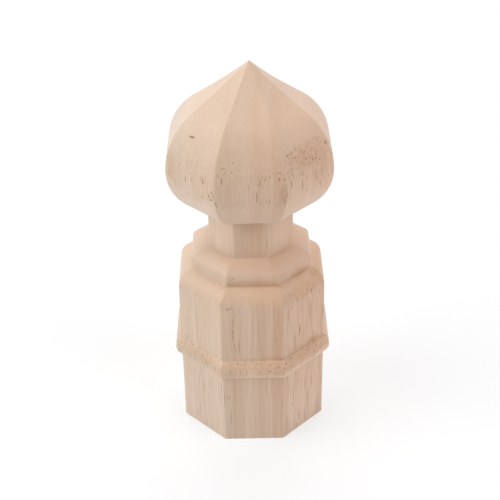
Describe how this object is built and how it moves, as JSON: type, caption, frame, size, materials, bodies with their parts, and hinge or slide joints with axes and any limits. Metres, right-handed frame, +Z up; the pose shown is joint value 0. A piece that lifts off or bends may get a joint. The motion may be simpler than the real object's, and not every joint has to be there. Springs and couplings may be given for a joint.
{
  "type": "newel post cap",
  "caption": "Eight-sided wooden newel post cap: a block with a bead, a tapered body, a stepped collar and neck, and a pointed onion dome.",
  "frame": {"origin": "centre of the flat underside", "axes": "+Z up along the cap's axis to its tip, one of the eight flats facing -Y"},
  "size_m": [0.0806, 0.0806, 0.2],
  "materials": {
    "raw_wood": "bare sanded wood, matt, pale pinkish tan with fine upright grain"
  },
  "bodies": {
    "root": {"post_cap": "raw_wood"}
  },
  "joints": []
}
